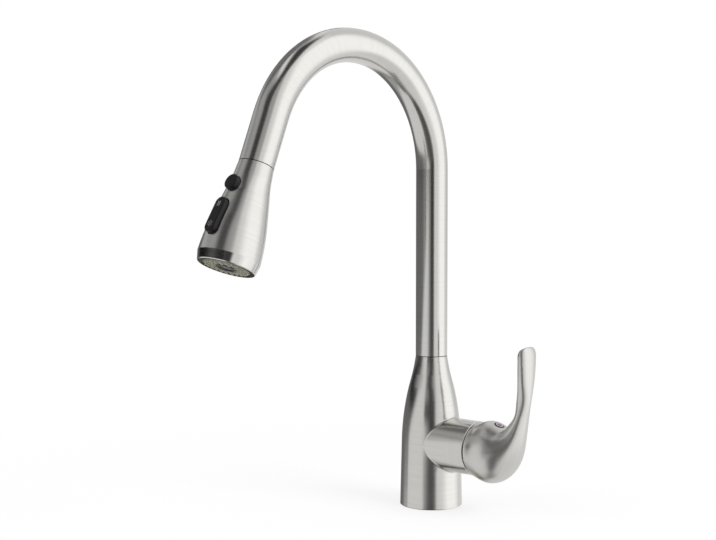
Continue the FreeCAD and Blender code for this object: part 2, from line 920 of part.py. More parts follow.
head_core = turned(
    "head_core",
    [
        (socket_radius, "socket_top"),
        (core_radius("tube_radius"), "socket_top"),
        (core_radius("head_taper_radius"), "head_taper_end"),
        (core_radius("flare_start_radius"), "flare_start"),
        (core_radius("flare_end_radius"), "flare_end"),
        (core_radius("crease_radius") - 0.4, size("core_end") - 1),
        (core_radius("crease_radius") - 0.4, "core_end"),
        ("chamber_radius", "core_end"),
        ("chamber_radius", size("core_end") - "chamber_depth"),
        ("waterway_radius", size("core_end") - "chamber_depth"),
        ("waterway_radius", socket_floor),
        (socket_radius, socket_floor),
    ],
    on_head,
)
flange_radius = size("pause_radius") + 0.7
seat = leaning_sketch(head_core, "pause_seat", pause_out, "pause_place", "pause_lean", pause_seat)
circles(seat, [(0, 0, flange_radius + "free_gap")])
pocket(head_core, seat, pause_seat + 4)
seat = leaning_sketch(head_core, "pause_rod_hole", pause_out, "pause_place", "pause_lean", pause_out)
circles(seat, [(0, 0, size("pause_rod") + "free_gap")])
pocket(head_core, seat, pause_out)
rocker_floor = size("rocker_skirt") + 1.6
seat = leaning_sketch(head_core, "rocker_seat", rocker_out, "rocker_place", "rocker_lean", rocker_floor)
stadium(
    seat,
    size("rocker_width") / 2 + "rocker_room" + 0.6,
    size("rocker_length") / 2 + "rocker_room" + 0.4,
)
pocket(head_core, seat, rocker_floor + 4)
boss_floor = size("rocker_pivot_depth") + "rocker_boss" + 0.6
boss_room = size("rocker_boss") + "rocker_room" + 0.4
boss_half = size("rocker_width") / 2 + "free_gap"
seat = leaning_sketch(head_core, "rocker_boss_seat", rocker_out, "rocker_place", "rocker_lean", boss_floor)
outline(seat, box_outline(-boss_half, boss_half, -boss_room, boss_room))
pocket(head_core, seat, boss_floor)
seat = leaning_sketch(head_core, "finger_slot", rocker_out, "rocker_place", "rocker_lean", rocker_out)
finger_swing = size("finger_thick") / 2 + 2.2
outline(
    seat,
    box_outline(
        -(size("finger_width") / 2 + "free_gap"),
        size("finger_width") / 2 + "free_gap",
        -finger_swing,
        finger_swing,
    ),
)
pocket(head_core, seat, rocker_out)

# Buttons: the pause button slides in on its rod, the rocker turns on a pin and its finger moves the diverter.
pause_button = new_body("pause_button")
cap_radius = size("pause_radius") - "pause_round"
dome_radius = (cap_radius * cap_radius + size("pause_dome") * "pause_dome") / (2 * size("pause_dome"))
revolve(
    pause_button,
    [
        (0, -(pause_seat + 1.2)),
        ("pause_rod", -(pause_seat + 1.2)),
        ("pause_rod", -size("pause_skirt")),
        (flange_radius, -size("pause_skirt")),
        (flange_radius, size("pause_flange") - "pause_skirt"),
        ("pause_radius", size("pause_flange") - "pause_skirt"),
        ("pause_radius", size("pause_proud") - "pause_round", "pause_round"),
        (cap_radius, "pause_proud", dome_radius),
        (0, size("pause_proud") + "pause_dome"),
    ],
)
lean_out = size("pause_lean")
on_head(pause_button, pause_out, "pause_place", -(lean_out + 90))

spring_pitch = (size("pause_travel") + "pause_spring_room" - 2 * size("spring_wire")) / "spring_turns"
helix = doc.addObject("Part::Helix", "spring_path")
bind(helix, "Pitch", spring_pitch)
bind(helix, "Height", spring_pitch * "spring_turns")
bind(helix, "Radius", "spring_radius")
wire = doc.addObject("Part::Circle", "spring_section")
bind(wire, "Radius", "spring_wire")
place(wire, x="spring_radius", axis=X_AXIS, angle=90)
pause_spring = doc.addObject("Part::Sweep", "pause_spring")
pause_spring.Sections = [wire]
pause_spring.Spine = (helix, ["Edge1"])
pause_spring.Solid = True
pause_spring.Frenet = True
doc.recompute()
spring_low = size("spring_wire") - pause_seat
on_head(
    pause_spring,
    pause_out + spring_low * cos_of(lean_out),
    size("pause_place") - spring_low * sin_of(lean_out),
    -(lean_out + 90),
)
nodes.append(pause_spring)

mode_rocker = new_body("mode_rocker")
rocker_top = size("rocker_pivot_depth") + "rocker_proud"
block_low = size("rocker_pivot_depth") - "rocker_skirt"
face = new_sketch(mode_rocker, "rocker_face", "XZ_Plane", -block_low)
stadium(face, size("rocker_width") / 2, size("rocker_length") / 2)
rocker_pad = mode_rocker.newObject("PartDesign::Pad", "rocker_block")
rocker_pad.Profile = face
rocker_pad.Reversed = True
bind(rocker_pad, "Length", rocker_top - block_low)
doc.recompute()


def rocker_rim(edge):
    return abs(edge.BoundBox.YMin - rocker_top.value) < 0.01


rounded = mode_rocker.newObject("PartDesign::Fillet", "rocker_rounded")
rounded.Base = (rocker_pad, edge_names(rocker_pad.Shape, rocker_rim))
bind(rounded, "Radius", "rocker_round")
doc.recompute()
boss_round = size("rocker_boss")
boss_sketch = new_sketch(mode_rocker, "rocker_boss", "YZ_Plane", -(size("rocker_width") / 2))
outline(boss_sketch, box_outline(-boss_round, block_low + 0.5, -boss_round, boss_round))
pad(mode_rocker, boss_sketch, "rocker_width")
finger_reach = rocker_axis_out - "diverter_waist" - 0.4
finger = new_sketch(mode_rocker, "rocker_finger", "YZ_Plane", -(size("finger_width") / 2))
half_finger = size("finger_thick") / 2
outline(finger, box_outline(-finger_reach, -boss_round + 0.5, -half_finger, half_finger))
pad(mode_rocker, finger, "finger_width")
bearing = new_sketch(mode_rocker, "rocker_bearing", "YZ_Plane", "rocker_width")
circles(bearing, [(0, 0, size("rocker_pin") + "running_gap")])
pocket(mode_rocker, bearing, 2 * size("rocker_width"))
on_head(mode_rocker, rocker_axis_out, rocker_axis_down, -rocker_lean)

rocker_pin = doc.addObject("Part::Cylinder", "rocker_pin")
bind(rocker_pin, "Radius", "rocker_pin")
pin_half = size("rocker_width") / 2 + "rocker_room" + 2.2
bind(rocker_pin, "Height", 2 * pin_half)
pin_y = mouth_y + rocker_axis_out * cos_of(bend) - rocker_axis_down * sin_of(bend)
pin_z = mouth_z + rocker_axis_out * sin_of(bend) + rocker_axis_down * cos_of(bend)
place(rocker_pin, x=-pin_half, y=pin_y, z=pin_z, axis=Y_AXIS, angle=90)
nodes.append(rocker_pin)
pin_seat = new_sketch(head_core, "rocker_pin_seat", "YZ_Plane", pin_half)
circles(pin_seat, [(rocker_axis_out, rocker_axis_down, "rocker_pin")])
pocket(head_core, pin_seat, 2 * pin_half)

finger_mid = (size("diverter_waist") + "waterway_radius") / 2
diverter_middle = rocker_axis_down + (rocker_axis_out - finger_mid) * tan_of(rocker_lean)
half_groove = half_finger + "finger_room"
half_diverter = size("diverter_length") / 2
diverter_radius = size("waterway_radius") - "sliding_gap"
turned(
    "diverter_spool",
    [
        (1.2, diverter_middle - half_diverter),
        (diverter_radius, diverter_middle - half_diverter),
        (diverter_radius, diverter_middle - half_groove),
        ("diverter_waist", diverter_middle - half_groove),
        ("diverter_waist", diverter_middle + half_groove),
        (diverter_radius, diverter_middle + half_groove),
        (diverter_radius, diverter_middle + half_diverter),
        (1.2, diverter_middle + half_diverter),
    ],
    on_head,
)

# Spray face: a plate with a groove round its raised face and three rings of holes, soft nozzles through
# them, and the aerator in the middle.
plate_bore = size("aerator_radius") + "sliding_gap"
groove_floor = plate_low - "face_groove"
spray_plate = turned(
    "spray_plate",
    [
        (plate_bore, plate_top),
        (plate_radius - "sliding_gap", plate_top),
        (plate_radius - "sliding_gap", groove_floor),
        ("face_radius", groove_floor),
        ("face_radius", plate_low),
        (plate_bore, plate_low),
    ],
    on_head,
)
nozzle_pad = ring(
    "nozzle_pad",
    size("aerator_radius") + "free_gap",
    plate_radius - "free_gap",
    plate_top - "pad_thick",
    plate_top,
    on_head,
)
for index in range(NOZZLE_RINGS):
    orbit = size("inner_ring") + index * size("ring_step")
    count = size("inner_count") + index * size("count_step")
    hole = new_sketch(spray_plate, f"plate_hole_{index}", "XY_Plane", plate_low)
    circles(hole, [(orbit, 0, size("nozzle_radius") + "sliding_gap")])
    polar(spray_plate, pocket(spray_plate, hole, "plate_thick"), count)
    tip = new_sketch(nozzle_pad, f"nozzle_{index}", "XY_Plane", plate_top)
    circles(tip, [(orbit, 0, "nozzle_radius"), (orbit, 0, "nozzle_bore")])
    polar(nozzle_pad, pad(nozzle_pad, tip, size("plate_thick") + "nozzle_proud"), count)

aerator_bore = size("aerator_radius") - "aerator_wall"
aerator_low = plate_low + "nozzle_proud"
aerator_top = aerator_low - "aerator_depth"
screen_low = aerator_low - 1
turned(
    "aerator_housing",
    [
        (aerator_bore - 1.2, aerator_top),
        ("aerator_radius", aerator_top),
        ("aerator_radius", aerator_low - 0.4),
        (size("aerator_radius") - 0.4, aerator_low),
        (aerator_bore, aerator_low),
        (aerator_bore, screen_low - "screen_thick"),
        (aerator_bore - 1.2, screen_low - "screen_thick"),
    ],
    on_head,
)
aerator_screen = turned(
    "aerator_screen",
    [
        (0, screen_low - "screen_thick"),
        (aerator_bore, screen_low - "screen_thick"),
        (aerator_bore, screen_low),
        (0, screen_low),
    ],
    on_head,
)
manifold_top = size("core_end") + "running_gap"
turned(
    "spray_manifold",
    [
        (aerator_bore - 1.2, manifold_top),
        (size("chamber_radius") + 2, manifold_top),
        (size("chamber_radius") + 2, plate_top - "pad_thick"),
        (size("aerator_radius") + "free_gap", plate_top - "pad_thick"),
        (size("aerator_radius") + "free_gap", aerator_top),
        (aerator_bore - 1.2, aerator_top),
    ],
    on_head,
)

# Valve: a brass block in the boss holds the cartridge sleeve, in which the spool slides and turns.
block_face = size("boss_reach") - "block_end"
valve_block = turned(
    "valve_block",
    [
        (0, "block_start"),
        (boss_bore - "sliding_gap", "block_start"),
        (boss_bore - "sliding_gap", block_face),
        (size("sleeve_radius") + "running_gap", block_face),
        (size("sleeve_radius") + "running_gap", "sleeve_start"),
        (0, "sleeve_start"),
    ],
    on_boss,
)
ports = [
    ("inlet_apart", "inlet_reach", "inlet_radius"),
    (-size("inlet_apart"), "inlet_reach", "inlet_radius"),
    (0, "outlet_reach", "outlet_radius"),
]
port_face = new_sketch(valve_block, "port_face", "YZ_Plane", "port_flat")
flat_end = size("inlet_reach") + "inlet_radius" + 3
outline(port_face, box_outline(-boss_bore, boss_bore, size("block_start") - 1, flat_end))
pocket(valve_block, port_face, boss_bore, True)
port_bores = new_sketch(valve_block, "port_bores", "YZ_Plane", "port_flat")
circles(port_bores, ports)
pocket(valve_block, port_bores, "inlet_depth")
drillings = new_sketch(valve_block, "drillings", "YZ_Plane", "port_flat")
circles(drillings, [(across, up, "drill_radius") for across, up, radius in ports])
pocket(valve_block, drillings, "port_flat")

spool_radius = size("sleeve_radius") - "sleeve_wall" - "sliding_gap"
sleeve_end = block_face + "sleeve_flange"
cartridge_sleeve = turned(
    "cartridge_sleeve",
    [
        (size("sleeve_radius") - "sleeve_wall", "sleeve_start"),
        ("sleeve_radius", "sleeve_start"),
        ("sleeve_radius", block_face),
        (size("sleeve_radius") + "sleeve_lip", block_face),
        (size("sleeve_radius") + "sleeve_lip", sleeve_end),
        (size("sleeve_radius") - "sleeve_wall", sleeve_end),
    ],
    on_boss,
)
windows = new_sketch(cartridge_sleeve, "sleeve_windows", "XZ_Plane", "sleeve_radius")
circles(windows, [(0, size("seal_first") + size("seal_pitch") / 2, "drill_radius")])
pocket(cartridge_sleeve, windows, 2 * size("sleeve_radius"))

retainer_end = sleeve_end + "retainer_thick"
nose_end = retainer_end + "nose_length"
cap_end = nose_end + "cap_thick"
stem_tip = cap_end + "stem_reach"
pivot_out = cap_end + "pivot_reach"
turned(
    "retaining_nut",
    [
        (size("sleeve_radius") - 1, sleeve_end),
        (boss_bore, sleeve_end),
        (boss_bore, retainer_end),
        ("nose_radius", retainer_end),
        ("nose_radius", nose_end),
        (size("sleeve_radius") - 1, nose_end),
    ],
    on_boss,
)
seal_groove = spool_radius - 2 * size("seal_wire")
half_groove_width = size("seal_wire") + "sliding_gap"
spool_outline = [(0, "spool_start"), (spool_radius, "spool_start")]
seal_places = [size("seal_first") + index * size("seal_pitch") for index in range(3)]
for middle in seal_places:
    spool_outline += [
        (spool_radius, middle - half_groove_width),
        (seal_groove, middle - half_groove_width),
        (seal_groove, middle + half_groove_width),
        (spool_radius, middle + half_groove_width),
    ]
shoulder = sleeve_end + "free_gap"
spool_outline += [
    (spool_radius, shoulder),
    ("stem_radius", shoulder),
    ("stem_radius", stem_tip),
    (0, stem_tip),
]
valve_spool = turned("valve_spool", spool_outline, on_boss)
link_reach = stem_tip - "stem_end"
link_hole = new_sketch(valve_spool, "link_hole", "XZ_Plane", "stem_radius")
circles(link_hole, [(0, link_reach, "pin_radius")])
pocket(valve_spool, link_hole, 2 * size("stem_radius"))

seals = []
for middle in seal_places:
    seal = doc.addObject("Part::Torus", f"seal_{len(seals)}")
    bind(seal, "Radius1", seal_groove + "seal_wire")
    bind(seal, "Radius2", "seal_wire")
    place(seal, x=middle, z="boss_height", axis=Y_AXIS, angle=90)
    seals.append(seal)
spool_seals = doc.addObject("Part::Compound", "spool_seals")
spool_seals.Links = seals
nodes.append(spool_seals)

# Pivot cap: turns with the lever on the nut's nose and carries the fulcrum pin in two lugs.
cap_low = retainer_end + "free_gap"
stem_hole = size("stem_radius") + "free_gap"
pivot_cap = turned(
    "pivot_cap",
    [
        (size("nose_radius") + "running_gap", cap_low),
        (boss_bore - "free_gap", cap_low),
        (boss_bore - "free_gap", cap_end - size("cap_dome") - 0.4),
        (size("nose_radius") + 1, cap_end),
        (stem_hole, cap_end),
        (stem_hole, nose_end + "free_gap"),
        (size("nose_radius") + "running_gap", nose_end + "free_gap"),
    ],
    on_boss,
)
lug_far = size("lug_near") + "lug_thick"
lug_low = size("pivot_drop") - "lug_radius"
lug_high = size("pivot_drop") + "lug_radius"
lug_arc = size("lug_radius") * 1.0000001
lug_root = cap_end - size("cap_dome") - 1.2
for near_side in (lug_far, -size("lug_near")):
    lug = new_sketch(pivot_cap, "cap_lug", "XZ_Plane", -near_side)
    outline(
        lug,
        [
            (lug_low, lug_root),
            (size("pivot_drop") + size("lug_radius") / 3, lug_root),
            (lug_high, pivot_out, lug_arc),
            (lug_low, pivot_out),
        ],
    )
    pad(pivot_cap, lug, "lug_thick")
lug_hole = new_sketch(pivot_cap, "lug_hole", "XZ_Plane", lug_far)
circles(lug_hole, [("pivot_drop", pivot_out, "pin_radius")])
pocket(pivot_cap, lug_hole, 2 * lug_far)

fulcrum_pin = cross_pin("fulcrum_pin", "pin_radius", lug_far)
place(
    fulcrum_pin,
    x=pivot_out,
    y=lug_far,
    z=size("boss_height") - "pivot_drop",
    axis=X_AXIS,
    angle=90,
)
ear_near = size("stem_radius") + "free_gap" + 0.2
ear_far = ear_near + "link_ear"
link_pin = cross_pin("link_pin", "pin_radius", ear_far)
place(link_pin, x=link_reach, y=ear_far, z="boss_height", axis=X_AXIS, angle=90)

link_block = new_body("link_block")
ear_start = link_reach - "stem_end"
grip_start = stem_tip + "fork_room"
half_high = size("link_half_height")
tail = new_sketch(link_block, "link_tail", "XZ_Plane", -ear_far)
link_tail = grip_start + "link_grip"
outline(tail, box_outline(-half_high, half_high, ear_start, link_tail))
pad(link_block, tail, 2 * ear_far)
fork = new_sketch(link_block, "link_fork", "XZ_Plane", -(-ear_near))
outline(fork, box_outline(-half_high - 1, half_high + 1, ear_start - 1, grip_start))
pocket(link_block, fork, 2 * ear_near)
slot_half = size("pin_radius") + "free_gap" + 0.05
slot = new_sketch(link_block, "link_slot", "XZ_Plane", ear_far)
outline(
    slot,
    box_outline(
        -(slot_half + "slot_rise"),
        slot_half,
        link_reach - slot_half,
        link_reach + slot_half,
    ),
)
pocket(link_block, slot, 2 * ear_far)
on_boss(link_block)

# Lever handle: a bulbous hub that flows into a lever curving up. Each section is four curves, so that the
# lever has ridges that fade out on the hub.
rim = size("boss_reach").value + size("handle_gap").value
axis_z = size("boss_height").value
hub = size("boss_radius").value


def station(top, low, wide, inner=2.0, outer=2.0):
    """One closed section between its top and low points, of four curves, squarer for a higher power."""
    high_point = FreeCAD.Vector(rim + top[0], 0, axis_z + top[1])
    low_point = FreeCAD.Vector(rim + low[0], 0, axis_z + low[1])
    centre = (high_point + low_point) * 0.5
    arm = (high_point - low_point) * 0.5

    def point(angle):
        power = inner if math.cos(angle) > 0 else outer
        along = math.copysign(abs(math.cos(angle)) ** (2 / power), math.cos(angle))
        across = math.copysign(abs(math.sin(angle)) ** (2 / power), math.sin(angle))
        return centre + arm * along + Y_AXIS * (wide * across)

    def heading(angle):
        return (point(angle + 1e-4) - point(angle - 1e-4)).normalize()

    curves = []
    steps = 8
    quarter = math.pi / 2
    for corner in range(4):
        start = (corner - 0.5) * quarter
        points = [point(start + quarter * step / steps) for step in range(steps + 1)]
        curve = Part.BSplineCurve()
        curve.interpolate(points, InitialTangent=heading(start), FinalTangent=heading(start + quarter))
        curves.append(curve.toShape())
    return Part.Wire(curves)


def hub_station(name, low_reach=None, power=2.0):
    """A section of the hub, measured from the boss's own outline."""
    reach = size(f"{name}_reach").value
    top = (reach, hub + size(f"{name}_rise").value)
    low = (size(low_reach).value if low_reach else reach, -hub - size(f"{name}_drop").value)
    return station(top, low, hub + size(f"{name}_swell").value, power, power)


def turning_station(name, inner, outer):
    """A section where the hub turns up into the lever, measured from the boss's top."""
    top = (size(f"{name}_reach").value, hub + size(f"{name}_rise").value)
    low = (size(f"{name}_low_reach").value, hub + size(f"{name}_low_rise").value)
    return station(top, low, size(f"{name}_half").value, inner, outer)


def lever_station(share, wide, thickness, swept=0.0, slanted=0.0):
    """A section of the lever at a share of its height, which can slant up outward near the tip."""
    up = size("lever_height").value * share
    line = size("lever_line").value - size("lever_sweep").value * swept
    slant = size("lever_slant").value * slanted
    inner_edge = (line - thickness / 2, up - slant / 2)
    outer_edge = (line + thickness / 2, up + slant / 2)
    return station(inner_edge, outer_edge, wide, 2.4, 2.1)


half_width = size("lever_half_width").value
waist = size("lever_waist").value
thick = size("lever_thick").value
hub_sections = [
    station((0, hub), (0, -hub), hub),
    hub_station("collar"),
    hub_station("belly"),
    hub_station("crown"),
    hub_station("saddle", "saddle_low_reach"),
    hub_station("valley", "valley_low_reach", 2.2),
    turning_station("root", 2.3, 2.2),
    turning_station("turn", 2.4, 2.1),
]
lever_sections = [
    lever_station(0.49, waist, thick * 1.12, 1.0),
    lever_station(0.59, waist * 1.13, thick * 1.09, 0.55),
    lever_station(0.69, half_width * 0.86, thick * 1.04, 0.25),
    lever_station(0.80, half_width * 0.95, thick * 1.02, 0.08),
    lever_station(0.89, half_width, thick * 0.99),
    lever_station(0.95, half_width * 0.98, thick * 0.93, 0.0, 0.4),
    lever_station(0.98, half_width * 0.86, thick * 0.74, 0.0, 0.8),
    lever_station(0.995, half_width * 0.55, thick * 0.42, 0.0, 1.0),
]
lever = Part.makeLoft(hub_sections + lever_sections, True, False)


def along_x(radius, start, end):
    return Part.makeCylinder(radius, end - start, FreeCAD.Vector(start, 0, axis_z), X_AXIS)


cavity_radius = hub - size("hub_wall").value
cavity_end = rim + size("hub_depth").value
lever = lever.cut(along_x(cavity_radius, rim - 1, cavity_end))
slack = size("sliding_gap").value
ear = ear_far.value + slack
high = half_high.value + slack
pocket_end = link_tail.value + slack
pocket_box = Part.makeBox(pocket_end - rim, 2 * ear, 2 * high, FreeCAD.Vector(rim, -ear, axis_z - high))
lever = lever.cut(pocket_box)

pivot_low = axis_z - size("pivot_drop").value
pivot_x = pivot_out.value
lug_half = size("lug_near").value - size("free_gap").value
lug_r = size("lug_radius").value
wall_low = axis_z - cavity_radius - 1
web = Part.makeBox(
    2 * lug_r, 2 * lug_half, pivot_low - wall_low, FreeCAD.Vector(pivot_x - lug_r, -lug_half, wall_low)
)
eye_start = FreeCAD.Vector(pivot_x, -lug_half, pivot_low)
eye = Part.makeCylinder(lug_r, 2 * lug_half, eye_start, Y_AXIS)
bore_radius = size("pin_radius").value + size("running_gap").value
eye_bore = Part.makeCylinder(bore_radius, 2 * lug_half, eye_start, Y_AXIS)
lever = lever.fuse([web, eye]).cut(eye_bore)

# the lower rim is relieved, so that it clears the boss when the lever rocks outward
relief = Part.makeBox(6, 4 * hub, 2 * hub, FreeCAD.Vector(rim - 6, -2 * hub, pivot_low - 2 * hub))
relief.rotate(FreeCAD.Vector(rim, 0, pivot_low), Y_AXIS, -size("rim_relief").value)
lever = lever.cut(relief)

lean = math.radians(size("plug_lean").value)
plug_out = FreeCAD.Vector(math.sin(lean), 0, math.cos(lean))
plug_face = FreeCAD.Vector(rim + size("plug_reach").value, 0, axis_z + hub + size("plug_rise").value)
plug_deep = size("plug_depth").value
plug_r = size("plug_radius").value
grub_r = size("grub_radius").value
to_block = (plug_face.z - axis_z - half_high.value) / plug_out.z
grub_room = size("running_gap").value
plug_room = size("plug_room").value
grub_hole = Part.makeCylinder(grub_r + grub_room, to_block, plug_face - plug_out * to_block, plug_out)
plug_floor = plug_face - plug_out * plug_deep
plug_hole = Part.makeCylinder(plug_r + plug_room, plug_deep + 4, plug_floor, plug_out)
lever = lever.cut([grub_hole, plug_hole])
handle = doc.addObject("Part::Feature", "handle")
handle.Shape = lever.removeSplitter()
nodes.append(handle)

# The set screw bears on the link block under the plug that carries the hot and cold mark.
grub_point = plug_face - plug_out * (to_block - math.tan(lean) * grub_r - 0.1)
grub = Part.makeCylinder(grub_r, size("grub_length").value, grub_point, plug_out)
key_depth = size("key_depth").value
key_start = grub_point + plug_out * (size("grub_length").value - key_depth)
grub = grub.cut(Part.makeCylinder(grub_r * 0.5, key_depth, key_start, plug_out))
set_screw = doc.addObject("Part::Feature", "set_screw")
set_screw.Shape = grub
nodes.append(set_screw)
button = Part.makeCylinder(plug_r, plug_deep + size("plug_proud").value, plug_floor, plug_out)
plug_rim = [edge for edge in button.Edges if edge.CenterOfMass.z > plug_face.z]
index_plug = doc.addObject("Part::Feature", "index_plug")
index_plug.Shape = button.makeFillet(size("plug_round").value, plug_rim)
nodes.append(index_plug)

doc.recompute()
failed = [item.Name for item in doc.Objects if {"Invalid", "Error"} & set(item.State)]
if failed:
    raise RuntimeError(f"failed features: {failed}")
for node in nodes:
    if node.Shape.isNull() or not node.Shape.isValid():
        raise RuntimeError(f"bad shape: {node.Label}")

os.makedirs("parts", exist_ok=True)
for node in nodes:
    node.Shape.exportStep(f"parts/{node.Label}.step")
print(len(nodes), "nodes")
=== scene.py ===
import json
import math

import bmesh
import bpy
from mathutils import Matrix, Vector


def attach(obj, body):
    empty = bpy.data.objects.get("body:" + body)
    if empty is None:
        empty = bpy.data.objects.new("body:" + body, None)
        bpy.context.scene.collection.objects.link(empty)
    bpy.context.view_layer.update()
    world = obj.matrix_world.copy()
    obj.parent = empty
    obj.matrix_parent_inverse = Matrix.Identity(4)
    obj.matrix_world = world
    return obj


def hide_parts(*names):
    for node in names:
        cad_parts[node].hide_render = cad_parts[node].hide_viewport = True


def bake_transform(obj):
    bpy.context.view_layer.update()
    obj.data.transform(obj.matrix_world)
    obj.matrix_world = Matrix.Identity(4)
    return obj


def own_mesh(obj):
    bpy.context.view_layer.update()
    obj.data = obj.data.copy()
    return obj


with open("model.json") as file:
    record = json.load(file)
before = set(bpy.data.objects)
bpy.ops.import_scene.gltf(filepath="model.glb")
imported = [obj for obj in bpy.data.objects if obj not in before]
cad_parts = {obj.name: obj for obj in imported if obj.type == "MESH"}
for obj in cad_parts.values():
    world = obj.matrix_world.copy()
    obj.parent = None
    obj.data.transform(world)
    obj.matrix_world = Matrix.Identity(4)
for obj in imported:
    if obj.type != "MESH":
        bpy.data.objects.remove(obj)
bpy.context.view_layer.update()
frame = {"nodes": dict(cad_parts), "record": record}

scene = bpy.context.scene
scene.view_settings.view_transform = "Standard"
nodes = frame["nodes"]

# Camera: stands in front of the sink, well to the lever's side and a little above half the height of the
# faucet, and looks slightly down.
camera_turn = math.radians(43.47)
camera_dip = math.radians(2.69)
eye_lens = bpy.data.cameras.new("camera")
eye_lens.sensor_fit = "HORIZONTAL"
eye_lens.sensor_width = 36.0
eye_lens.lens = 64.15
eye = bpy.data.objects.new("camera", eye_lens)
eye.location = (0.7304, -0.8655, 0.2621)
eye.rotation_euler = (math.pi / 2 - camera_dip, 0, camera_turn)
scene.collection.objects.link(eye)
scene.camera = eye


# Studio: a white tent. The metal sees a large soft panel over a pale table on the right, a dim wall with
# paler and darker parts on the left, and in front the dark slot where the camera stands.
class Thread:
    """A socket of a finish's node tree. Sums and products of threads add Math nodes."""

    def __init__(self, socket):
        self.socket = socket
        self.tree = socket.id_data

    def node(self, kind, settings=None, inputs=None, output=0):
        """Add a node: its settings first, then values or threads for its sockets."""
        item = self.tree.nodes.new(kind)
        for name, value in (settings or {}).items():
            setattr(item, name, value)
        for name, value in (inputs or {}).items():
            if isinstance(value, Thread):
                self.tree.links.new(value.socket, item.inputs[name])
            else:
                item.inputs[name].default_value = value
        return Thread(item.outputs[output])

    def other(self, name):
        """Another output of the node that this thread leaves."""
        return Thread(self.socket.node.outputs[name])

    def maths(self, operation, first, second=0.0):
        return self.node("ShaderNodeMath", {"operation": operation}, {0: first, 1: second})

    def __add__(self, more):
        return self.maths("ADD", self, more)

    __radd__ = __add__

    def __sub__(self, less):
        return self.maths("SUBTRACT", self, less)

    def __rsub__(self, whole):
        return self.maths("SUBTRACT", whole, self)

    def __mul__(self, times):
        return self.maths("MULTIPLY", self, times)

    __rmul__ = __mul__

    def __truediv__(self, share):
        return self.maths("DIVIDE", self, share)

    def step(self, low, high):
        """Rises smoothly from 0 at low to 1 at high."""
        limits = {"Value": self, "From Min": low, "From Max": high}
        return self.node("ShaderNodeMapRange", {"interpolation_type": "SMOOTHSTEP"}, limits)

    def band(self, low, high, soft):
        """One between low and high, with soft edges."""
        return self.step(low - soft, low + soft) * (1 - self.step(high - soft, high + soft))

    def blend(self, under, over):
        """Mixes two colours by this thread."""
        return self.node("ShaderNodeMix", {"data_type": "RGBA"}, {0: self, 6: under, 7: over}, output=2)

    def along(self, heading):
        """How far this thread's vector goes along a heading."""
        ends = {0: self, 1: heading}
        return self.node("ShaderNodeVectorMath", {"operation": "DOT_PRODUCT"}, ends, "Value")


def grey(level):
    return (level, level, level, 1.0)


world = bpy.data.worlds.new("studio")
scene.world = world
world.use_nodes = True
tent = world.node_tree.nodes["Background"]
sight = Thread(tent.inputs["Color"]).node("ShaderNodeTexCoord")
to_right = sight.along((math.cos(camera_turn), math.sin(camera_turn), 0))
to_camera = sight.along((math.sin(camera_turn), -math.cos(camera_turn), 0))
turn = sight.maths("ARCTAN2", to_right, to_camera) * (180 / math.pi)
rise = sight.maths("ARCSINE", sight.along((0, 0, 1))) * (180 / math.pi)
walls = rise.step(-22, 10).blend(grey(0.34), grey(0.76))
for panel, left, right, side_soft, low, high, edge_soft, level in (
    ("left wall", -200, -16, 8, -99, 62, 8, 0.17),
    ("left wall, glow", -66, -16, 14, -12, 24, 8, 0.36),
    ("left wall, middle", -150, -64, 10, 14, 29, 5, 0.50),
    ("left wall, high", -115, -16, 10, 31, 62, 6, 0.42),
    ("left wall, far", -175, -110, 6, 31, 62, 6, 0.20),
    ("back wall", -200, -171, 5, 30, 62, 6, 0.90),
    ("back table", -168, -98, 12, -80, -40, 8, 0.42),
    ("right table, behind", -200, -173, 6, -75, -3, 6, 0.84),
    ("left table", -128, -33, 8, -75, -12, 4, 0.80),
    ("left light", -42, -23, 7, -7, 3, 2, 0.76),
    ("right table", 100, 200, 12, -75, -3, 6, 0.84),
    ("right table, near", 13, 110, 8, -75, -24, 8, 0.80),
    ("right wall", 15, 52, 4, -40, 75, 10, 0.86),
    ("right panel", 48, 110, 14, -28, 62, 10, 1.30),
    ("front wall", -24, 18, 6, 8, 62, 6, 0.42),
    ("left wall, gap", -145, 2, 6, 2.8, 12.5, 2.5, 0.01),
    ("overhead", -200, 200, 8, 66, 99, 5, 0.95),
    ("camera slot, low", -20, 11, 7, -65, -5, 5, 0.10),
):
    walls = (turn.band(left, right, side_soft) * rise.band(low, high, edge_soft)).blend(walls, grey(level))
    walls.socket.node.label = panel
slot_half = 0.22
slot_lean = rise.band(24, 58, 14) * 0.42
slot_wide = (to_right + slot_lean).band(-slot_half, slot_half, 0.09)
slot = slot_wide * to_camera.step(-0.5, -0.2) * rise.step(-14, -2)
walls = slot.blend(walls, grey(0.05))
ray = sight.node("ShaderNodeLightPath")
mirrored = ray.other("Is Glossy Ray").blend(grey(0.75), walls)
seen = ray.maths("MAXIMUM", ray.other("Is Camera Ray"), ray.other("Is Transmission Ray"))
world.node_tree.links.new(seen.blend(mirrored, grey(1.0)).socket, tent.inputs["Color"])

lamp_aim = Vector((0, -0.05, 0.2))
for name, place, wide, power in (
    ("key_lamp", (1.9, 0.25, 1.5), 1.2, 30),
    ("fill_lamp", (-1.2, -1.9, 1.3), 1.4, 14),
):
    lamp = bpy.data.lights.new(name, "AREA")
    lamp.shape = "SQUARE"
    lamp.size = wide
    lamp.energy = power
    holder = bpy.data.objects.new(name, lamp)
    holder.location = place
    holder.rotation_euler = (lamp_aim - Vector(place)).to_track_quat("-Z", "Y").to_euler()
    holder.visible_glossy = False
    scene.collection.objects.link(holder)

